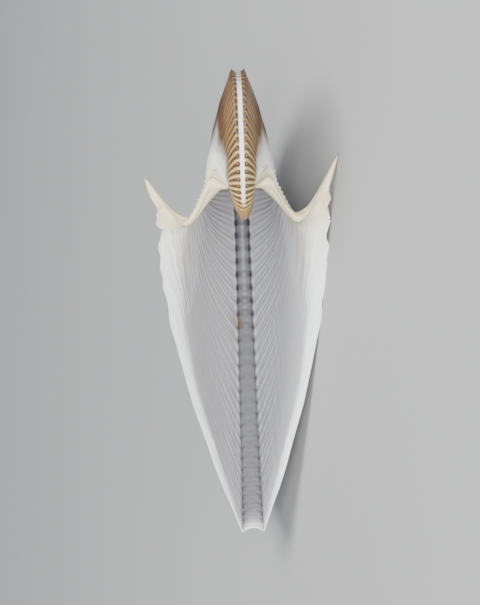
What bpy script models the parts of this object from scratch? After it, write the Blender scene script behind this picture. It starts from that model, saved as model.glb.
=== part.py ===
"""Paper nautilus shell: a thin ribbed egg case with two ears, lying on its right flank.

The wall is swept round the coiling axis in the growth frame: X along the axis, Y from the lip's
keel end up to the coil, Z out of the aperture. Sizes there are in millimetres, angles in degrees.
"""
import math

import bmesh
import bpy
import numpy as np
from mathutils import Matrix, Vector
from mathutils.bvhtree import BVHTree

MILLIMETRE = 0.001

# Spiral of the keel, from the coiling axis
LIP_RADIUS = 113.8
GROWTH_PER_RADIAN = 0.37
FIRST_ANGLE = -500.0

# Cross-section, as shares of the keel radius unless a length
KEEL_BASE = 1.0
KEEL_PER_RADIUS = 0.0235
FIRST_KEEL_BASE = 0.1
FIRST_KEEL_PER_RADIUS = 0.16
KEEL_DISH = 1.3
KEEL_DISH_RADIUS = 45.0
SHOULDER_RADIUS = 0.146
LIP_BEND = 1.57
BACK_BEND = 2.42
BEND_ANGLE = 27.5
COIL_BEND = 0.6
LIP_SPREAD = 0.022
LIP_FLARE = 0.037
COIL_SPREAD = 0.045
MIDDLE_HALF_WIDTH = 0.187

# Wall, ribs and keel nodules
WALL = 0.45
WALL_PER_RADIUS = 0.03
RIB_PITCH = 5.2
RIB_PITCH_RADIUS = 32.6
RIB_HEIGHT_PER_PITCH = 0.06
RIB_FULL_RADIUS = 0.6
NODULE_HEIGHT_PER_PITCH = 0.22
FIRST_RIB_RADIUS = 13.0

# The ears grow out of the last part of the wall
EAR_ANGLE = -42.0
EAR_POWER = 5.0

# Regular section at its control points: share of the half-width, share of the keel radius
SHOULDER_WALL = [
    (1.0, 0.146), (1.0, 0.140), (0.998, 0.138), (0.99, 0.136), (0.978, 0.134),
    (0.959, 0.132), (0.937, 0.130), (0.908, 0.128), (0.867, 0.125), (0.804, 0.111),
    (0.698, 0.088), (0.57, 0.058), (0.441, 0.028), (0.311, 0.010), (0.17, 0.010),
]
# The lip's outer edge there: shoulder, ear with its tip sixth, notch eleventh, inner rim
RIGHT_EAR = [
    (28.2, -13.4), (28.1, -9.2), (29.3, -5.2), (28.8, -2.4), (30.5, 2.6),
    (32.3, 9.0), (29.7, 4.9), (27.9, 1.3), (25.5, -3.0), (23.1, -6.7),
    (18.9, -10.4), (15.3, -7.9), (12.5, -3.2), (9.4, 2.3), (4.9, -1.0),
]
LEFT_EAR = [
    (27.9, -13.4), (28.0, -10.9), (27.4, -8.4), (28.0, -6.1), (29.6, -3.4),
    (31.2, 2.7), (29.8, 1.5), (28.2, -0.2), (25.8, -3.7), (23.2, -7.4),
    (19.0, -11.2), (15.5, -7.4), (12.7, -2.3), (9.5, 2.6), (4.8, -1.0),
]
# The lip's inner edge at the same control points, where the callus ends
CALLUS_EDGE = [
    (27.2, -13.6), (27.0, -11.5), (26.9, -9.6), (26.7, -8.2), (26.4, -7.2),
    (25.8, -6.7), (25.0, -6.9), (24.0, -7.8), (22.8, -9.3), (21.2, -11.2),
    (18.0, -13.6), (14.6, -10.3), (12.0, -5.1), (9.3, -2.0), (4.8, -1.7),
]

# Control points used away from the lip, outside and inside; 0 is the keel's middle
FLANK_STEPS = (1.0, 0.64, 0.30)
SPARSE_OUTER = (0, 1, 2, 3, 4, 9, 14, 18)
SPARSE_INNER = (0, 1, 2, 3, 4, 11, 18)
FULL_RIBS = 3
REST_SIDE = Vector((1.0, 0.0, 0.0))


def keel_radius(angle):
    return LIP_RADIUS * math.exp(GROWTH_PER_RADIAN * math.radians(angle))


def keel_half_width(radius):
    first = FIRST_KEEL_BASE + FIRST_KEEL_PER_RADIUS * radius
    return min(first, KEEL_BASE + KEEL_PER_RADIUS * radius)


def half_width(angle):
    """Widest half of the section: wide at the lip, narrower behind it, inflated in the coil."""
    turn = math.radians(angle)
    lip = LIP_SPREAD * math.exp(2.0 * turn) + LIP_FLARE * math.exp(10.0 * turn)
    coil = COIL_SPREAD * min(1.0, max(0.0, (-angle - 90.0) / 90.0))
    return (MIDDLE_HALF_WIDTH + lip + coil) * keel_radius(angle)


def flank_bend(angle):
    """How full the flank is: nearly straight at the lip, rounder behind, roundest in the coil."""
    back = (BACK_BEND - LIP_BEND) * (1.0 - math.exp(angle / BEND_ANGLE))
    coil = COIL_BEND * min(1.0, max(0.0, (-angle - 180.0) / 90.0))
    return LIP_BEND + back + coil


def rib_pitch(radius):
    return RIB_PITCH * (1.0 - math.exp(-radius / RIB_PITCH_RADIUS))


def rib_angles():
    """Angles of the rib crests, from the lip inwards, one pitch apart along the keel."""
    slope = math.sqrt(1.0 + 1.0 / GROWTH_PER_RADIAN ** 2)
    step = RIB_PITCH / (slope * RIB_PITCH_RADIUS)
    start = math.log(math.exp(LIP_RADIUS / RIB_PITCH_RADIUS) - 1.0)
    angles = []
    radius = LIP_RADIUS
    while radius > FIRST_RIB_RADIUS:
        index = len(angles) + 0.5
        radius = RIB_PITCH_RADIUS * math.log(1.0 + math.exp(start - index * step))
        angles.append(math.degrees(math.log(radius / LIP_RADIUS) / GROWTH_PER_RADIAN))
    return angles


def regular_section(angle):
    """Outer half-section as (x, radius) at each control point, from keel middle to margin."""
    radius = keel_radius(angle)
    keel = keel_half_width(radius)
    widest = half_width(angle)
    dish = KEEL_DISH * (1.0 - 1.2 * math.exp(-(radius / KEEL_DISH_RADIUS) ** 2))
    points = [(0.0, radius - dish)]
    shoulder = SHOULDER_RADIUS * radius
    for share in FLANK_STEPS:
        x = keel + (widest - keel) * (1.0 - share ** flank_bend(angle))
        points.append((x, shoulder + (radius - shoulder) * share))
    for across, up in SHOULDER_WALL:
        points.append((widest * across, radius * up))
    return np.array(points)


def section_normals(points):
    """Outward normals in the section's plane."""
    along = np.gradient(points, axis=0)
    along[0] = (1.0, 0.0)
    normals = np.stack([-along[:, 1], along[:, 0]], axis=1)
    return normals / np.linalg.norm(normals, axis=1)[:, None]


def half_loop(angle, crest, ear, side):
    """Outer and inner points in the growth frame, from the keel's middle to one margin."""
    radius = keel_radius(angle)
    turn = math.radians(angle)
    outer = regular_section(angle)
    normals = section_normals(outer)
    wall = min(WALL, WALL_PER_RADIUS * radius)
    inner = outer - wall * normals
    lip_outer = regular_section(0.0)
    lip_inner = lip_outer - WALL * section_normals(lip_outer)

    pitch = rib_pitch(radius)
    spread = np.minimum(1.0, outer[:, 1:] / (RIB_FULL_RADIUS * radius))
    relief = crest * RIB_HEIGHT_PER_PITCH * pitch * spread * normals
    outer[2:16] += relief[2:16]
    inner[2:16] += relief[2:16]
    nodule = max(crest, 0.0) * NODULE_HEIGHT_PER_PITCH * pitch
    outer[1] += (0.35 * nodule, 0.94 * nodule)

    def place(section, lip_section, lip_edge):
        flare = max(0.0, 1.0 - angle / EAR_ANGLE) ** EAR_POWER
        placed = []
        for index, (x, reach) in enumerate(section):
            point = np.array([x, -reach * math.cos(turn), reach * math.sin(turn)])
            if index >= 4:
                edge = lip_edge[index - 4]
                base = lip_section[index]
                point += flare * np.array([edge[0] - base[0], edge[1] + base[1], 0.0])
            placed.append(point * (side, 1.0, 1.0))
        return placed

    return place(outer, lip_outer, ear), place(inner, lip_inner, CALLUS_EDGE)


def station(bm, angle, crest, full):
    """One section of the wall as two rows of (place along the row, vertex): outside, inside."""
    last = len(FLANK_STEPS) + len(SHOULDER_WALL)
    left = half_loop(angle, crest, LEFT_EAR, -1.0)
    right = half_loop(angle, crest, RIGHT_EAR, 1.0)
    rows = []
    for layer, sparse in enumerate((SPARSE_OUTER, SPARSE_INNER)):
        used = range(last + 1) if full else sparse
        row = []
        for index in reversed([i for i in used if i]):
            row.append((-index, bm.verts.new(left[layer][index])))
        for index in used:
            row.append((index, bm.verts.new(right[layer][index])))
        rows.append(row)
    return rows


def strip(bm, first, second):
    """Triangles between two rows, stepping along whichever row lags."""
    i, j = 0, 0
    while i < len(first) - 1 or j < len(second) - 1:
        more_first = i < len(first) - 1
        more_second = j < len(second) - 1
        if more_first and (not more_second or first[i + 1][0] <= second[j + 1][0]):
            bm.faces.new((first[i][1], first[i + 1][1], second[j][1]))
            i += 1
        else:
            bm.faces.new((first[i][1], second[j + 1][1], second[j][1]))
            j += 1


def stations():
    """(angle, crest height from -1 to 1, full detail) from the first section to the lip."""
    ribs = rib_angles()
    places = [(0.0, 0.0, True)]
    for index, angle in enumerate(ribs):
        places.append((angle, 1.0, index < FULL_RIBS))
        if index + 1 < len(ribs):
            places.append(((angle + ribs[index + 1]) / 2, -1.0, index < FULL_RIBS))
    angle = ribs[-1] - 10.0
    while angle > FIRST_ANGLE:
        places.append((angle, 0.0, False))
        angle -= 14.0
    return places[::-1]


def grow_wall():
    bm = bmesh.new()
    rows = [station(bm, *place) for place in stations()]
    for (outer, inner), (next_outer, next_inner) in zip(rows, rows[1:]):
        strip(bm, outer, next_outer)
        strip(bm, next_inner, inner)
        for end in (0, -1):
            band = [outer[end][1], next_outer[end][1], next_inner[end][1], inner[end][1]]
            order = (0, 1, 2), (0, 2, 3)
            for face in order:
                corners = [band[corner] for corner in face]
                bm.faces.new(corners if end else corners[::-1])
    strip(bm, rows[0][1], rows[0][0])
    strip(bm, rows[-1][0], rows[-1][1])
    bmesh.ops.recalc_face_normals(bm, faces=bm.faces)
    return bm


def centre_of_mass(bm):
    """Centre of the wall's own volume, summed over tetrahedra from the origin."""
    corners = np.array([[v.co for v in f.verts] for f in bm.faces])
    volumes = np.einsum("ij,ij->i", corners[:, 0], np.cross(corners[:, 1], corners[:, 2]))
    return Vector((corners.sum(axis=1) / 4 * volumes[:, None]).sum(axis=0) / volumes.sum())


def rest_direction(bm, start):
    """The way down at rest: roll over the hull's faces until the centre of mass is above one."""
    centre = centre_of_mass(bm)
    hull = bmesh.new()
    for vertex in bm.verts:
        hull.verts.new(vertex.co)
    bmesh.ops.convex_hull(hull, input=hull.verts)
    tree = BVHTree.FromBMesh(hull)
    down = start
    for _ in range(100):
        normal = tree.ray_cast(centre, down)[1]
        normal = normal if normal.dot(down) > 0 else -normal
        if (normal - down).length < 1e-6:
            break
        down = normal
    hull.free()
    return down


def lay_down(bm):
    """Rest the wall on its flank: coil towards +X, aperture towards -Y, base centre at 0."""
    up = -rest_direction(bm, REST_SIDE)
    front = Vector((0.0, 0.0, 1.0))
    front = (front - up * front.dot(up)).normalized()
    turn = Matrix((up.cross(front), -front, up)).to_4x4()
    bm.transform(Matrix.Scale(MILLIMETRE, 4) @ turn)
    corners = np.array([v.co for v in bm.verts])
    low, high = corners.min(axis=0), corners.max(axis=0)
    middle = Vector(((low[0] + high[0]) / 2, (low[1] + high[1]) / 2, low[2]))
    bm.transform(Matrix.Translation(-middle))


def shell_material():
    material = bpy.data.materials.new("shell")
    material.use_nodes = True
    surface = material.node_tree.nodes["Principled BSDF"]
    surface.inputs["Base Color"].default_value = (0.80, 0.77, 0.71, 1.0)
    surface.inputs["Roughness"].default_value = 0.42
    surface.inputs["Metallic"].default_value = 0.0
    return material


def build():
    for item in list(bpy.data.objects):
        bpy.data.objects.remove(item, do_unlink=True)
    bm = grow_wall()
    lay_down(bm)
    mesh = bpy.data.meshes.new("shell")
    bm.to_mesh(mesh)
    bm.free()
    mesh.materials.append(shell_material())
    mesh.shade_smooth()
    mesh.set_sharp_from_angle(angle=math.radians(50))
    shell = bpy.data.objects.new("shell", mesh)
    bpy.context.collection.objects.link(shell)


build()
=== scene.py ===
import math

import bpy
import numpy as np
from mathutils import Matrix, Vector


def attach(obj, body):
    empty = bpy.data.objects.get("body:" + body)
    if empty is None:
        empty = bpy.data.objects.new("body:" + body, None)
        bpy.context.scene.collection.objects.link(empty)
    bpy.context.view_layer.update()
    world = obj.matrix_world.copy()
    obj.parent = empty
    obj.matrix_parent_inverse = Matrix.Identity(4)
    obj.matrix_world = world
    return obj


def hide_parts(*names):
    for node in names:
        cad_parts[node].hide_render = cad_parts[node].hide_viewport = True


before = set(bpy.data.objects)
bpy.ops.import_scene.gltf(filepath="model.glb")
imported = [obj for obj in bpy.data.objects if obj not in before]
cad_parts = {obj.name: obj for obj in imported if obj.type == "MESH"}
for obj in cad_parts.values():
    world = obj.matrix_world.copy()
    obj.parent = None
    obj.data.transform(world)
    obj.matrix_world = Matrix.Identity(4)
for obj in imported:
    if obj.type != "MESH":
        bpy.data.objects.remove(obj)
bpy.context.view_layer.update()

# Attitude of the shell. It lies on its right ear, the flank by the lip and the keel's side.
# The growth frame has X along the coiling axis, Y from keel end to coil, Z out of the mouth;
# the pole is where the coiling axis crosses the middle of the shell.
mm = 0.001
down = Vector((0.94625, -0.13597, -0.29346)).normalized()
pole = Vector((37.339, -22.391, 29.340)) * mm
front = Vector((0.0, 0.0, 1.0))
front = (front + down * -front.dot(down)).normalized()
lying = Matrix((front.cross(down), -front, -down)).to_4x4()
lying = Matrix.Translation(pole) @ lying @ Matrix.Scale(mm, 4)

# Camera straight into the mouth, square to the lip, with the small lean of the photograph.
# Its distance and the height of its frame are in the shell's millimetres.
camera_distance = 800.0
frame_height = 197.3
frame_centre = (-1.69, -38.8)
photo_lean = math.radians(2.02)
sensor = 36.0
farthest_seen = 20.0
camera_data = bpy.data.cameras.new("camera")
camera_data.sensor_width = sensor
camera_data.lens = sensor * camera_distance / frame_height
camera_data.clip_end = farthest_seen
camera = bpy.data.objects.new("camera", camera_data)
bpy.context.collection.objects.link(camera)
across = Vector((math.cos(photo_lean), -math.sin(photo_lean), 0.0))
upright = Vector((math.sin(photo_lean), math.cos(photo_lean), 0.0))
looking = lying.to_3x3() @ Matrix((across, upright, (0.0, 0.0, 1.0))).transposed()
eye = lying @ Vector((*frame_centre, camera_distance))
camera.matrix_world = Matrix.Translation(eye) @ looking.normalized().to_4x4()
bpy.context.scene.camera = camera


# Floor: a wide, pale matt sheet that the shell lies on. One soft light hangs overhead, and
# another stands low in front, so that the mouth is lit as well.
class Wire:
    """A socket of a material's tree, with arithmetic that adds Math nodes."""

    def __init__(self, tree, socket):
        self.tree = tree
        self.socket = socket

    def combine(self, operation, *values):
        """A Math node on these values, each of them a wire or a plain number."""
        node = self.tree.nodes.new("ShaderNodeMath")
        node.operation = operation
        for socket, value in zip(node.inputs, values):
            if isinstance(value, Wire):
                self.tree.links.new(value.socket, socket)
            else:
                socket.default_value = value
        return Wire(self.tree, node.outputs[0])

    def math(self, operation, *others):
        return self.combine(operation, self, *others)

    def __add__(self, other):
        return self.math("ADD", other)

    def __sub__(self, other):
        return self.math("SUBTRACT", other)

    def __rsub__(self, other):
        return self.combine("SUBTRACT", other, self)

    def __mul__(self, other):
        return self.math("MULTIPLY", other)

    def __truediv__(self, other):
        return self.math("DIVIDE", other)

    __radd__ = __add__
    __rmul__ = __mul__

    def step(self, low, high):
        """0 below low, 1 above high, smooth between them."""
        node = self.tree.nodes.new("ShaderNodeMapRange")
        node.interpolation_type = "SMOOTHSTEP"
        self.tree.links.new(self.socket, node.inputs["Value"])
        node.inputs["From Min"].default_value = low
        node.inputs["From Max"].default_value = high
        return Wire(self.tree, node.outputs["Result"])

    def hump(self, middle, reach):
        """1 at middle, falling smoothly to 0 at reach either side."""
        return 1 - (self - middle).math("ABSOLUTE").step(0.0, reach)


class Finish:
    """A material with one Principled shader, and one method that adds any other node."""

    def __init__(self, name, **plain):
        self.material = bpy.data.materials.new(name)
        self.material.use_nodes = True
        self.tree = self.material.node_tree
        self.shader = self.tree.nodes["Principled BSDF"]
        for socket, value in plain.items():
            self.shader.inputs[socket.replace("_", " ")].default_value = value

    def feed(self, socket, value):
        if isinstance(value, Wire):
            self.tree.links.new(value.socket, socket)
        else:
            socket.default_value = value

    def node(self, kind, output=0, settings=None, **inputs):
        node = self.tree.nodes.new(kind)
        for name, value in (settings or {}).items():
            setattr(node, name, value)
        for name, value in inputs.items():
            self.feed(node.inputs[name.replace("_", " ")], value)
        return Wire(self.tree, node.outputs[output])

    def blend(self, amount, first, second):
        """Mix of two colours by amount; a Mix node has its colours on inputs 6 and 7."""
        node = self.tree.nodes.new("ShaderNodeMix")
        node.data_type = "RGBA"
        for place, value in zip((0, 6, 7), (amount, first, second)):
            self.feed(node.inputs[place], value)
        return Wire(self.tree, node.outputs[2])

    def field(self, name):
        """A number kept on the mesh's points."""
        return self.node("ShaderNodeAttribute", output="Fac", settings={"attribute_name": name})

    def noise(self, scale, detail):
        """Noise fixed to the object, scale to the metre."""
        place = self.node("ShaderNodeTexCoord", output="Object")
        return self.node("ShaderNodeTexNoise", Scale=scale, Detail=detail, Vector=place)


floor_size = 4.0
sheet_grey = (0.40, 0.40, 0.41, 1.0)
sheet_pale = (0.43, 0.43, 0.43, 1.0)
room_light = (0.9, 0.95, 1.0, 1.0)
room_strength = 0.35

half = floor_size / 2
floor_corners = [(-half, -half, 0), (half, -half, 0), (half, half, 0), (-half, half, 0)]
floor_mesh = bpy.data.meshes.new("floor")
floor_mesh.from_pydata(floor_corners, [], [(0, 1, 2, 3)])
floor = bpy.data.objects.new("floor", floor_mesh)
bpy.context.collection.objects.link(floor)
floor_finish = Finish("floor_sheet", Roughness=0.9)
mottle = floor_finish.noise(6.0, 4.0)
floor_finish.feed(
    floor_finish.shader.inputs["Base Color"],
    floor_finish.blend(mottle, sheet_grey, sheet_pale),
)
floor_mesh.materials.append(floor_finish.material)


def soft_light(name, size, energy, place, target=(0.0, 0.0, 0.03)):
    data = bpy.data.lights.new(name, "AREA")
    data.size = size
    data.energy = energy
    light = bpy.data.objects.new(name, data)
    bpy.context.collection.objects.link(light)
    light.location = place
    aim = Vector(target) - Vector(place)
    light.rotation_euler = aim.to_track_quat("-Z", "Y").to_euler()


soft_light("overhead", 0.9, 17.0, (0.35, -0.25, 1.0))
soft_light("front_fill", 0.8, 29.0, (-0.1, -1.2, 0.35))
world = bpy.data.worlds.new("room")
world.use_nodes = True
background = world.node_tree.nodes["Background"]
background.inputs["Color"].default_value = room_light
background.inputs["Strength"].default_value = room_strength
bpy.context.scene.world = world


# Shell: one thin wall of calcite that the animal laid down edge by edge, starting at the coil.
# Each stage left a rib on both flanks and a pair of hollow nodules on the keel. The last stage
# flares into the ears, and its rim is thickened by a rounded callus.

# Sizes are in mm. Angles are in degrees, 0 at the lip and negative towards the coil's start.
# Places run along the section, from 0 at the keel's middle past these three
at_edge, at_shoulder, at_coil = 1.0, 4.0, 18.0
lip_radius = 113.8
growth = 0.37
first_angle = -500.0
wall, wall_per_radius = 0.45, 0.03

# Section: the keel's flat or dished band, the flank and the shoulder
keel_base, keel_per_radius = 1.0, 0.0235
first_keel_base, first_keel_per_radius = 0.1, 0.16
keel_dish, keel_dish_radius, first_keel_arch = 1.3, 45.0, 1.2
shoulder_share = 0.146
lip_bend, back_bend, bend_angle, coil_bend = 1.57, 2.42, 27.5, 0.6
lip_spread, spread_speed, lip_flare, flare_speed = 0.022, 2.0, 0.037, 10.0
coil_spread, middle_half_width = 0.045, 0.187
spread_from, bend_from, first_whorl_from = (90.0, 90.0), (180.0, 90.0), (260.0, 60.0)
tip_bend, tip_round = 2.6, 0.09
slim_share, slim_angle, full_share, full_angle, width_reach = 0.12, -172.0, 0.05, -118.0, 26.0
keel_wander, wander_from, wander_reach = 0.6, (140.0, 60.0), 3.2
flank_steps = (1.0, 0.64, 0.30)
shoulder_wall = [
    (1.0, 0.146), (1.0, 0.140), (0.998, 0.138), (0.99, 0.136), (0.978, 0.134),
    (0.959, 0.132), (0.937, 0.130), (0.908, 0.128), (0.867, 0.125), (0.804, 0.111),
    (0.698, 0.088), (0.57, 0.058), (0.441, 0.028), (0.311, 0.010), (0.17, 0.010),
]

# Ribs: single and sharp on the coil, in pairs further on, one broad rib again at the shoulder
rib_pitch, rib_pitch_radius = 5.2, 32.6
rib_height, rib_full_radius = 0.06, 0.6
rib_lean, lean_power, lean_end, lean_angle, floor_lead = 5.0, 1.6, 1.6, 60.0, 0.5
groove_power = 0.8
pair_height, pair_difference, broad_height = 0.62, 0.25, 0.9
pairs_from, broad_from = (-150.0, 60.0), (2.4, 1.2)
usual_height, uneven_share, uneven_waves = 0.95, 0.22, ((2.7, 0.8), (4.9, -0.5))
ribs_start, ribs_fade, chevron, chevron_width = (0.9, 0.4), 3.0, 0.32, 0.3
lip_ribs, lip_rib_angle, lip_rib_end = 0.8, 25.0, 5.4
nodule_height, nodule_length, nodule_widths = 0.2, 0.17, (0.45, 0.16)
nodule_aim = (0.35, 0.94)

# Lumps on the shoulder beside the coil, and the lip's margin, turned in, wavy and scalloped
lump_height, lump_every, lump_wander, lump_wander_rate = 0.45, 2.4, 2.2, 0.9
lump_place, lump_place_reach, lump_angle, lump_angle_reach = 5.5, 3.0, -92.0, 38.0
margin_turn, turn_depth, turn_reach = 1.9, 1.4, 11.0
turn_end, turn_fade, keel_turn, keel_turn_fade = 5.0, 1.2, 0.05, 0.8
edge_wave, wave_place, wave_spread, wave_reach = 0.3, 4.5, 2.6, 7.0
wave_rate, wave_wander, wander_rate = 9.0, 0.8, 4.0
scallop, scallop_place, scallop_spread, scallop_reach = 0.45, 3.9, 0.5, 6.0
scallop_rate, scallop_start = 26.0, 1.9

# Ears, as x and y of the lip at each place from the shoulder to the coil, and their callus
ear_angle, ear_power = -42.0, 5.0
right_ear = [
    (29.0, -13.4), (28.2, -9.2), (29.3, -5.2), (28.8, -2.4), (30.5, 2.6),
    (32.3, 9.0), (29.7, 4.9), (27.9, 1.3), (25.5, -3.0), (23.3, -6.9),
    (19.0, -10.8), (15.3, -7.9), (12.5, -3.2), (9.4, 2.3), (4.9, -1.0),
]
left_ear = [
    (27.4, -14.0), (28.1, -11.5), (27.6, -8.6), (28.2, -6.1), (30.0, -3.4),
    (31.5, 2.4), (30.6, 2.4), (28.7, -0.6), (26.3, -4.2), (23.6, -7.9),
    (19.2, -11.9), (15.4, -7.7), (12.7, -2.3), (9.5, 2.6), (4.8, -1.0),
]
callus_edge = [
    (27.2, -13.6), (27.0, -11.5), (26.9, -9.6), (26.7, -8.2), (26.4, -7.2),
    (25.8, -6.7), (25.0, -6.9), (24.0, -7.8), (22.8, -9.3), (21.2, -11.2),
    (18.0, -13.6), (14.6, -10.3), (12.0, -5.1), (9.3, -2.0), (4.8, -1.7),
]


def ramp(value, start, length):
    """0 up to start, then rising evenly to 1 over length."""
    return np.clip((value - start) / length, 0.0, 1.0)


def bell(value, middle, reach):
    return np.exp(-((value - middle) / reach) ** 2)


def smooth_through(points, places):
    """Catmull-Rom curve through the points, read at fractional indices."""
    points = np.asarray(points, float)
    padded = np.vstack([2 * points[0] - points[1], points, 2 * points[-1] - points[-2]])
    index = np.clip(places.astype(int), 0, len(points) - 2)
    t = (places - index)[:, None]
    a, b, c, d = (padded[index + k] for k in range(4))
    return 0.5 * (
        2 * b + (c - a) * t + (2 * a - 5 * b + 4 * c - d) * t ** 2
        + (3 * b - a - 3 * c + d) * t ** 3
    )


def past_shoulder(points, place):
    """The curve through points that run from the shoulder to the coil, read at each place."""
    return smooth_through(points, np.clip(place - at_shoulder, 0.0, at_coil - at_shoulder))


def keel_radius(angle):
    return lip_radius * np.exp(growth * np.radians(angle))


def pitch_at(radius):
    """Distance between ribs along the keel; it grows fast at first, then settles."""
    return rib_pitch * (1.0 - np.exp(-radius / rib_pitch_radius))


def rib_count(angle):
    """How many ribs lie between this angle and the lip, along the keel."""
    slope = math.sqrt(1.0 + 1.0 / growth ** 2)
    whole, so_far = (
        np.log(np.expm1(radius / rib_pitch_radius))
        for radius in (lip_radius, keel_radius(angle))
    )
    return slope * rib_pitch_radius / rib_pitch * (whole - so_far)


def regular_section(angle, place):
    """x and radius of the section without ears, place running from the keel to the coil."""
    radius = keel_radius(angle)[:, None]
    behind = -angle[:, None]
    turn = np.radians(angle)[:, None]
    first_keel = first_keel_base + first_keel_per_radius * radius
    keel = np.minimum(first_keel, keel_base + keel_per_radius * radius)
    lip = lip_spread * np.exp(spread_speed * turn) + lip_flare * np.exp(flare_speed * turn)
    coil = coil_spread * ramp(behind, *spread_from)
    back = (back_bend - lip_bend) * (1.0 - np.exp(-behind / bend_angle))
    first_whorl = ramp(behind, *first_whorl_from)
    bend = lip_bend + back + coil_bend * ramp(behind, *bend_from) + tip_bend * first_whorl
    widest = (middle_half_width + lip + coil) * radius
    dish = keel_dish * (1.0 - first_keel_arch * bell(radius, 0.0, keel_dish_radius))
    shoulder = shoulder_share * radius
    drop = tip_round * first_whorl * radius

    share = np.interp(place, (1, 2, 3, 4), (*flank_steps, 0.0))[None, :]
    x = keel + (widest - keel) * (1.0 - share ** bend)
    reach = shoulder + (radius - drop - shoulder) * share
    slimmer = slim_share * bell(angle, slim_angle, width_reach)
    fuller = full_share * bell(angle, full_angle, width_reach)
    x = keel + (x - keel) * (1.0 + fuller - slimmer)[:, None]

    on_keel = (place < at_edge)[None, :]
    x = np.where(on_keel, keel * place[None, :], x)
    hollow = radius - dish * (1.0 - place[None, :] ** 2) - drop * place[None, :] ** 2
    reach = np.where(on_keel, hollow, reach)
    over = past_shoulder(shoulder_wall, place)
    past = (place > at_shoulder)[None, :]
    x = np.where(past, widest * over[:, 0][None, :], x)
    reach = np.where(past, radius * over[:, 1][None, :], reach)
    return np.stack([x, reach], axis=2)


def section_normals(section):
    along = np.gradient(section, axis=1)
    normals = np.stack([-along[..., 1], along[..., 0]], axis=2)
    normals[:, 0] = (0.0, 1.0)
    return normals / np.linalg.norm(normals, axis=2)[..., None]


def leaning_ribs(angle, place):
    """Rib phase: a rib starts at its nodule and leans towards the lip as it rises."""
    rise = np.clip((place - at_edge) / (at_shoulder - at_edge), 0.0, lean_end)
    fade = np.exp(angle / lean_angle)
    across_keel = floor_lead * np.clip(1.0 - place ** 2, 0.0, 1.0)
    leaning = rib_lean * rise[None, :] ** lean_power * fade[:, None] + across_keel[None, :]
    return rib_count(angle)[:, None] + leaning


def rib_relief(angle, place, reach):
    """Height of the ribs on the wall, reach being its distance from the coiling axis."""
    radius = keel_radius(angle)[:, None]
    nodule_phase = rib_count(angle)[:, None]
    phase = leaning_ribs(angle, place)
    once, twice = np.cos(2.0 * np.pi * phase), np.cos(4.0 * np.pi * phase)
    single = np.abs(np.cos(np.pi * phase)) ** groove_power * -2.0 + 1.0
    pairs = -pair_height * twice - pair_difference * once
    body_ribs = pairs + (-broad_height * once - pairs) * ramp(place, *broad_from)[None, :]
    crest = single + (body_ribs - single) * ramp(angle, *pairs_from)[:, None]
    uneven = sum(np.sin(a * nodule_phase + b * place) for a, b in uneven_waves)
    crest = crest * (usual_height + uneven_share * uneven)
    on_flank = ramp(place, *ribs_start) * ramp(at_coil - place, 0.0, ribs_fade)
    on_keel = np.minimum(ramp(at_edge - place, 0.0, chevron_width), chevron)
    spread = np.minimum(1.0, reach / (rib_full_radius * radius))
    by_the_lip = np.exp(angle[:, None] / lip_rib_angle) * ramp(lip_rib_end - place, 0.0, 1.0)
    spread = np.maximum(spread, lip_ribs * by_the_lip)
    return crest * rib_height * pitch_at(radius) * spread * (on_flank + on_keel)[None, :]


def shoulder_lumps(angle, place):
    """Height of the slow lumps on the shoulder beside the coil."""
    turns = rib_count(angle)[:, None] / lump_every
    lumps = np.sin(2.0 * np.pi * turns + lump_wander * np.sin(place * lump_wander_rate))
    beside_coil = bell(place, lump_place, lump_place_reach)
    beside_coil = beside_coil * bell(angle[:, None], lump_angle, lump_angle_reach)
    return lump_height * lumps * beside_coil


def margin_relief(angle, place, reach, side):
    """Height of the margin: the turn behind the lip, and the waves and scallops of its edge."""
    behind_lip = reach * np.radians(-angle)[:, None] * math.hypot(1.0, growth)
    on_margin = ramp(turn_end - place, 0.0, turn_fade)
    on_margin = on_margin * np.maximum(ramp(place, at_edge, keel_turn_fade), keel_turn)
    turned = (1.0 - np.exp(-behind_lip / turn_depth)) * np.exp(-behind_lip / turn_reach)
    waves = np.sin(place * wave_rate + wave_wander * np.sin(place * wander_rate))
    waves = waves * bell(place, wave_place, wave_spread)
    scallops = np.sin(place * scallop_rate + scallop_start + side)
    inwards_on_left = -0.5 + 0.5 * side
    scallops = (scallops + inwards_on_left) * bell(place, scallop_place, scallop_spread)
    return (
        edge_wave * waves * np.exp(-behind_lip / wave_reach)
        + scallop * scallops * np.exp(-behind_lip / scallop_reach)
        - margin_turn * turned * on_margin
    )


def nodule_relief(angle, place):
    """Height of the nodules, one to a rib on the keel's edge."""
    bump = bell(rib_count(angle)[:, None] % 1.0, 0.5, nodule_length)
    across_bump = bell(place, at_edge, np.where(place < at_edge, *nodule_widths))
    return bump * across_bump[None, :] * nodule_height * pitch_at(keel_radius(angle)[:, None])


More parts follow.
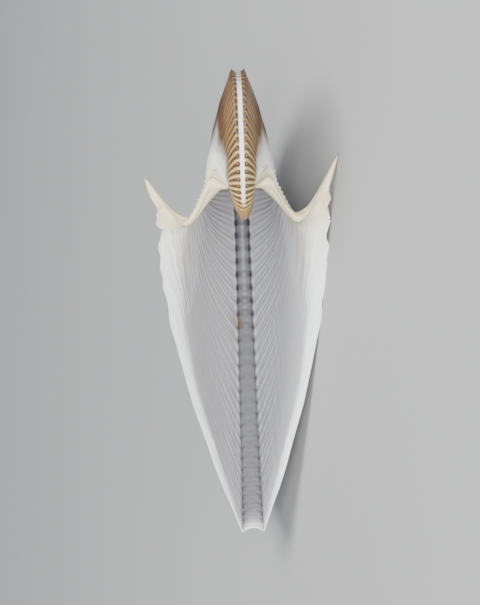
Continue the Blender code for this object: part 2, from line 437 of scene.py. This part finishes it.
def half_wall(angle, place, ear, side):
    """Outer and inner points of one half, as arrays of station by place by xyz."""
    radius = keel_radius(angle)[:, None]
    turn = np.radians(angle)[:, None]
    outer = regular_section(angle, place)
    normals = section_normals(outer)
    reach = outer[..., 1]
    relief = rib_relief(angle, place, reach) + shoulder_lumps(angle, place)
    relief = relief + margin_relief(angle, place, reach, side)
    raised = relief[..., None] * normals
    raised = raised + nodule_relief(angle, place)[..., None] * np.array(nodule_aim)
    thickness = np.minimum(wall, wall_per_radius * radius)[..., None]
    lip_outer = regular_section(np.zeros(1), place)
    lip_inner = lip_outer - wall * section_normals(lip_outer)

    flare = ramp(angle, ear_angle, -ear_angle)[:, None] ** ear_power
    wander = keel_wander * ramp(-angle, *wander_from)[:, None] * bell(place, 0.0, wander_reach)
    sheets = []
    for section, lip_section, edge in (
        (outer + raised, lip_outer, ear),
        (outer - thickness * normals + raised, lip_inner, callus_edge),
    ):
        x, reach = section[..., 0], section[..., 1]
        points = np.stack([x, -reach * np.cos(turn), reach * np.sin(turn)], axis=2)
        target = past_shoulder(edge, place)
        pull = np.stack(
            [target[:, 0] - lip_section[0, :, 0], target[:, 1] + lip_section[0, :, 1]], axis=1
        )
        pull[place < at_shoulder] = 0.0
        points[..., :2] += flare[..., None] * pull[None]
        points[..., 0] *= side
        points[..., 0] += wander
        sheets.append(points)
    return sheets


# Stations of growth: close together on the ribs that show, wider inside the coil
stage_angles, samples_per_rib = (-115.0, -335.0, first_angle), (12, 9, 5)
place_stretches = ((0.0, 1.0, 5), (1.0, 1.4, 3), (1.4, 3.0, 8), (3.0, 4.4, 23), (4.4, 18.0, 30))
fine_angles = np.linspace(first_angle, 0.0, 20001)
fine_counts = rib_count(fine_angles)
stages = []
newer = 0.0
for oldest, samples in zip(stage_angles, samples_per_rib):
    older = rib_count(np.array([oldest]))[0]
    stages.append(np.arange(newer, older, 1.0 / samples))
    newer = stages[-1][-1] + 1.0 / samples
angles = np.interp(-np.concatenate(stages)[::-1], -fine_counts, fine_angles)
angles[-1] = 0.0
rows = [np.linspace(low, high, count, endpoint=False) for low, high, count in place_stretches]
places = np.concatenate([*rows, [at_coil]])
right = half_wall(angles, places, right_ear, 1.0)
left = half_wall(angles, places, left_ear, -1.0)
outer = np.concatenate([left[0][:, :0:-1], right[0]], axis=1)
inner = np.concatenate([left[1][:, :0:-1], right[1]], axis=1)
stations, width = outer.shape[:2]
signed = np.concatenate([-places[:0:-1], places])
from_middle = np.abs(signed)

# The rim is rounded between the outside and the inside of the wall, fullest on the callus
rim_rows = 7
lip_roll, callus_roll, roll_power = 0.2, 1.1, 0.7
callus_from, callus_fade, notch_roll = (4.5, 4.0), 2.0, 0.3
across_rim = np.linspace(0.0, 1.0, rim_rows + 2)[1:-1, None]
on_callus = ramp(from_middle, *callus_from)
on_callus *= np.maximum(ramp(at_coil - from_middle, 0.0, callus_fade), notch_roll)
roll = lip_roll + (callus_roll - lip_roll) * on_callus
rim = outer[-1] + (inner[-1] - outer[-1]) * across_rim[..., None]
rim[..., 2] += roll * np.sin(np.pi * across_rim) ** roll_power


def quads(rows):
    """Faces between neighbouring rows of point numbers, kept row by row."""
    return np.stack([rows[:-1, :-1], rows[:-1, 1:], rows[1:, 1:], rows[1:, :-1]], axis=2)


loop = 2 * width
points = np.concatenate([
    np.concatenate([outer, inner[:, ::-1]], axis=1).reshape(-1, 3), rim.reshape(-1, 3)
])
rings = np.arange(stations * loop).reshape(stations, loop)
wall_faces = quads(np.concatenate([rings, rings[:, :1]], axis=1))
first_faces = quads(np.stack([rings[0, width:][::-1], rings[0, :width]]))
rim_rings = stations * loop + np.arange(rim_rows * width).reshape(rim_rows, width)
rim_lines = np.concatenate([rings[-1:, :width], rim_rings, rings[-1:, width:][:, ::-1]])
rim_ends = [rim_lines[::-1, 0].tolist(), rim_lines[:, -1].tolist()]


def on_points(on_wall, on_rim):
    """One field for all points, the same on the outside and the inside of the wall."""
    both = np.concatenate([on_wall, on_wall[:, ::-1]], axis=1)
    return np.concatenate([both.ravel(), on_rim.ravel()])


# Fields for the finish, on all points; a knob's size is in shares of the rib's pitch
knob_size, far_from_knob = 0.37, 3.0
whole = np.ones((stations, width))
round_rim = np.ones((rim_rows, width))
steps = np.linalg.norm(np.diff(outer, axis=0), axis=2)
from_lip = np.vstack([np.cumsum(steps[::-1], axis=0)[::-1], np.zeros(width)])
lean_phase = leaning_ribs(angles, from_middle)
pitches = pitch_at(keel_radius(angles)[:, None])
plain_section = regular_section(angles, from_middle)
keel_edge = regular_section(angles, np.array([at_edge]))
along = (rib_count(angles)[:, None] % 1.0 - 0.5) * pitches
from_edge = np.linalg.norm(plain_section - keel_edge, axis=2)
knob = np.hypot(along, from_edge) / (knob_size * pitches)
inside_ring = np.concatenate([0.0 * whole, whole], axis=1).ravel()
fields = {
    "angle": on_points(angles[:, None] * whole, 0.0 * round_rim),
    "ribs": on_points(lean_phase, lean_phase[-1] * round_rim),
    "nodules": on_points(rib_count(angles)[:, None] * whole, 0.0 * round_rim),
    "knob": on_points(np.minimum(knob, far_from_knob), far_from_knob * round_rim),
    "place": on_points(signed * whole, signed * round_rim),
    "from_lip": on_points(from_lip, 0.0 * round_rim),
    "inside": np.concatenate([inside_ring, (across_rim * round_rim).ravel()]),
}


def wall_mesh(name, faces):
    """A mesh of these faces, with the numbers of the points that it uses."""
    mesh = bpy.data.meshes.new(name)
    in_order = np.array([corner for face in faces for corner in face])
    used, corners = np.unique(in_order, return_inverse=True)
    ends = np.cumsum([len(face) for face in faces])
    renumbered = [part.tolist() for part in np.split(corners, ends[:-1])]
    mesh.from_pydata([lying @ Vector(p) for p in points[used]], [], renumbered)
    for field, values in fields.items():
        kept = values[used].astype(np.float32)
        mesh.attributes.new(field, "FLOAT", "POINT").data.foreach_set("value", kept)
    mesh.shade_smooth()
    return mesh, used


# Three meshes, each kept moderate, that share their rings of points and the normals there
coil_faces, middle_faces, mouth_faces = (
    part.reshape(-1, 4).tolist() for part in np.array_split(wall_faces, 3)
)
coil_faces += first_faces.reshape(-1, 4).tolist()
mouth_faces += quads(rim_lines).reshape(-1, 4).tolist() + rim_ends
whole_mesh, _ = wall_mesh("whole_wall", coil_faces + middle_faces + mouth_faces)
whole_normals = np.empty(len(points) * 3, np.float32)
whole_mesh.vertices.foreach_get("normal", whole_normals)
whole_normals = whole_normals.reshape(-1, 3)
bpy.data.meshes.remove(whole_mesh)

# Finish: white calcite, glossy and faintly see-through; brown on the coil's keel and flanks
white = (0.93, 0.93, 0.93, 1.0)
# Painted shade: the greyer white of the inside of the mouth
inside_painted_shade = (0.58, 0.58, 0.595, 1.0)
callus_cream = (0.81, 0.71, 0.42, 1.0)
blush = (0.81, 0.64, 0.47, 1.0)
groove_shade = (0.50, 0.51, 0.54, 1.0)
cream = (0.80, 0.58, 0.21, 1.0)
tan = (0.31, 0.195, 0.07, 1.0)
dark_brown = (0.060, 0.025, 0.012, 1.0)
mid_brown = (0.120, 0.056, 0.023, 1.0)
red_brown = (0.075, 0.026, 0.012, 1.0)
tip_gold = (0.44, 0.24, 0.06, 1.0)
seen_through_and_shade = (0.035, 0.03, 0.045, 1.0)
stain = (0.16, 0.095, 0.04, 1.0)
# Painted shade for the keel's floor deep inside the mouth
keel_floor_shade = (0.06, 0.062, 0.067, 1.0)
suture_shadow_tan = (0.40, 0.31, 0.18, 1.0)
wrinkle_tan = (0.34, 0.30, 0.24, 1.0)

# Angles over which a colour comes in or goes out, and where the brown spot lies
first_whorl_end = (-285.0, -215.0)
brown_widens, brown_narrows = (-275.0, -185.0), (-278.0, -238.0)
strip_begins, strip_breaks_up = (-302.0, -288.0), (-200.0, -181.0)
tip_ends = (-312.0, -290.0)
brown_ends, age_ends, knobs_end = (-140.0, -95.0), (-130.0, -90.0), (-80.0, -45.0)
floor_pales, nodules_pale = (-95.0, 40.0), (-68.0, -40.0)
spot_angle, spot_length, spot_place, spot_width = -54.4, 2.2, -0.75, 0.7

calcite = Finish("calcite", Roughness=0.36, Subsurface_Weight=0.08, Subsurface_Scale=0.002)
angle_field = calcite.field("angle")
rib_field = calcite.field("ribs")
knob_field = calcite.field("knob")
inside = calcite.field("inside")
from_lip_field = calcite.field("from_lip")
side_place = calcite.field("place")
from_keel = side_place.math("ABSOLUTE")
outside = 1 - inside.step(0.05, 0.35)
well_inside = inside.step(0.7, 0.95)

cloud = calcite.noise(90.0, 4.0)
grain = calcite.noise(420.0, 3.0)
growth_place = calcite.node(
    "ShaderNodeCombineXYZ", X=rib_field * 5.0, Y=from_keel * 0.8, Z=inside
)
growth_lines = calcite.node(
    "ShaderNodeTexNoise", Scale=1.0, Detail=4.0, Roughness=0.6, Vector=growth_place
)
rib_crest = ((rib_field + (cloud - 0.5) * 0.28) * math.tau).math("COSINE") * -0.5 + 0.5
nodule_wave = (calcite.field("nodules") * math.tau).math("COSINE") * -0.5 + 0.5

# Stripes: cream or tan ribs and brown grooves on the coil's flanks, bars and knobs at the keel
young = angle_field.step(*first_whorl_end)
crest_colour = calcite.blend(young, cream, tan)
groove_colour = calcite.blend(growth_lines.step(0.35, 0.65), dark_brown, mid_brown)
between_ribs = 1 - rib_crest.step(0.12, 0.66)
striped = calcite.blend(between_ribs * 0.95, groove_colour, crest_colour)
fine_lines = (growth_lines - 0.5).math("ABSOLUTE").step(0.0, 0.05)
striped = calcite.blend((1 - fine_lines) * young * 0.5, striped, crest_colour)
keel_bars = calcite.blend(nodule_wave.step(0.25, 0.75), crest_colour, mid_brown)
coil_colour = calcite.blend(1 - from_keel.step(1.0, 1.35), striped, keel_bars)
ring = knob_field.hump(0.80, 0.50)
coil_colour = calcite.blend(ring * 0.9, coil_colour, dark_brown)
knob_top = (1 - knob_field.step(0.15, 0.6)) * (0.75 - young * 0.55)
coil_colour = calcite.blend(knob_top, coil_colour, tan)
far_from_keel = from_keel.step(1.5, 3.0) * young
coil_colour = calcite.blend(far_from_keel * 0.65, coil_colour, red_brown)

# White strip along the middle of the coil's keel, and the gold tip where the coil begins
strip_strength = 1 - angle_field.step(*strip_breaks_up) * (0.35 + nodule_wave * 0.5)
on_strip = (1 - from_keel.step(0.33, 0.5)) * angle_field.step(*strip_begins)
coil_colour = calcite.blend(on_strip * strip_strength, coil_colour, white)
tip = (1 - angle_field.step(*tip_ends)) * (1 - from_keel.step(0.5, 1.6))
coil_colour = calcite.blend(tip * 0.7, coil_colour, tip_gold)

# Brown covers the first whorl's flanks, then half of the flanks, and ends on the coil's back
brown_edge = angle_field.step(*brown_widens) * 0.9 + 2.1
brown_edge = brown_edge + (1 - angle_field.step(*brown_narrows)) * 2.0
on_coil = 1 - (from_keel - brown_edge + (cloud - 0.5) * 1.3).step(-0.5, 0.7)
pigment = on_coil * (1 - angle_field.step(*brown_ends)) * outside

# The rest is white: painted shade greys the inside away from the bright margin; wrinkles lie
# below the notches, painted shade fills the rib grooves and the old wall outside is tinted
# cream
margin_width = 1 + from_keel.step(2.2, 4.0) * 1.6
bright_margin = 1 - (from_lip_field / margin_width).step(1.8, 5.0)
# Painted shade: the inside is greyer than the margin by the lip, for the shade deep in the
# mouth
plain = calcite.blend(bright_margin, inside_painted_shade, white)
plain = calcite.blend(outside, plain, white)
plain = calcite.blend(growth_lines.step(0.3, 0.8) * 0.12, plain, groove_shade)
wrinkle_place = calcite.node(
    "ShaderNodeCombineXYZ", X=rib_field * 1.7, Y=from_keel * 0.5, Z=7.0
)
wrinkles = calcite.node("ShaderNodeTexNoise", Scale=1.0, Detail=2.0, Vector=wrinkle_place)
below_notch = from_keel.hump(4.2, 1.7) * from_lip_field.hump(14.0, 13.0) * well_inside
plain = calcite.blend(wrinkles.step(0.45, 0.58) * below_notch, plain, wrinkle_tan)
# Painted shade in the grooves between the ribs, inside and outside
painted_groove_shade = 1 - (rib_field * math.tau * 2).math("COSINE").step(-0.6, 0.6)
painted_groove_shade = painted_groove_shade * (0.12 - outside * 0.02) * (1 - from_keel.step(3.0, 4.5))
plain = calcite.blend(painted_groove_shade, plain, groove_shade)
aged = outside * (1 - angle_field.step(*age_ends)) * 0.14
aged = aged + outside * from_keel.step(4.5, 9.0) * (0.35 + cloud.step(0.4, 0.7) * 0.3)
plain = calcite.blend(aged, plain, callus_cream)

# Inside, painted shade greys the keel's floor; its hollow nodules are dark, partly the brown
# wall seen through and partly painted shade; a brown spot lies beside it
keel_floor = (1 - from_keel.step(1.0, 1.12)) * well_inside
# Painted shade on the keel's floor, darker further into the mouth and at the nodules
floor_depth = 0.92 - angle_field.step(*floor_pales) * 0.66 + nodule_wave * 0.05
on_floor = keel_floor * from_lip_field.step(2.0, 12.0)
plain = calcite.blend(on_floor * floor_depth, plain, keel_floor_shade)
# The hollow nodules painted dark: partly their brown wall seen through, partly painted shade in
# the hollows
pocket = nodule_wave.step(0.35, 0.75) * (0.22 + from_keel.step(0.42, 0.66) * 0.78)
still_dark = (1 - angle_field.step(*nodules_pale)) * 0.85
plain = calcite.blend(keel_floor * pocket * still_dark, plain, seen_through_and_shade)
spot = angle_field.hump(spot_angle, spot_length) * side_place.hump(spot_place, spot_width)
plain = calcite.blend(spot * well_inside * cloud.step(0.2, 0.5), plain, stain)

# The callus is cream with a blush, the wall beside it warm, and a tan line of painted shadow
# lies where the callus meets the coil
warm = from_keel.step(3.3, 5.0) * (1 - from_lip_field.step(2.0, 24.0))
plain = calcite.blend(warm * 0.75, plain, callus_cream)
callus = from_keel.step(4.6, 7.5) * (1 - from_lip_field.step(0.5, 4.0))
callus_colour = calcite.blend(cloud.step(0.45, 0.7), callus_cream, blush)
plain = calcite.blend(callus * 0.95, plain, callus_colour)
# Painted shadow: a tan line where the callus overlaps the coil's flank
suture_shadow = from_keel.step(13.0, 15.0) * from_lip_field.hump(1.4, 0.7) * outside
plain = calcite.blend(suture_shadow * 0.7, plain, suture_shadow_tan)

colour = calcite.blend(pigment, plain, coil_colour)
late_knobs = (1 - angle_field.step(*knobs_end)) * (1 - knob_field.step(0.7, 1.1)) * outside
colour = calcite.blend(late_knobs * (1 - pigment) * 0.8, colour, mid_brown)
calcite.feed(calcite.shader.inputs["Base Color"], colour)
calcite.feed(calcite.shader.inputs["Roughness"], grain * 0.14 + 0.30 - callus * 0.08)
height = growth_lines * 0.7 + grain * 0.25
calcite.feed(
    calcite.shader.inputs["Normal"],
    calcite.node("ShaderNodeBump", Strength=0.3, Distance=0.0004, Height=height),
)

for name, faces in (
    ("shell_coil", coil_faces), ("shell_middle", middle_faces), ("shell_mouth", mouth_faces)
):
    mesh, used = wall_mesh(name, faces)
    mesh.normals_split_custom_set_from_vertices(whole_normals[used].tolist())
    mesh.materials.append(calcite.material)
    piece = bpy.data.objects.new(name, mesh)
    bpy.context.collection.objects.link(piece)
    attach(piece, "root")
    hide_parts("shell")
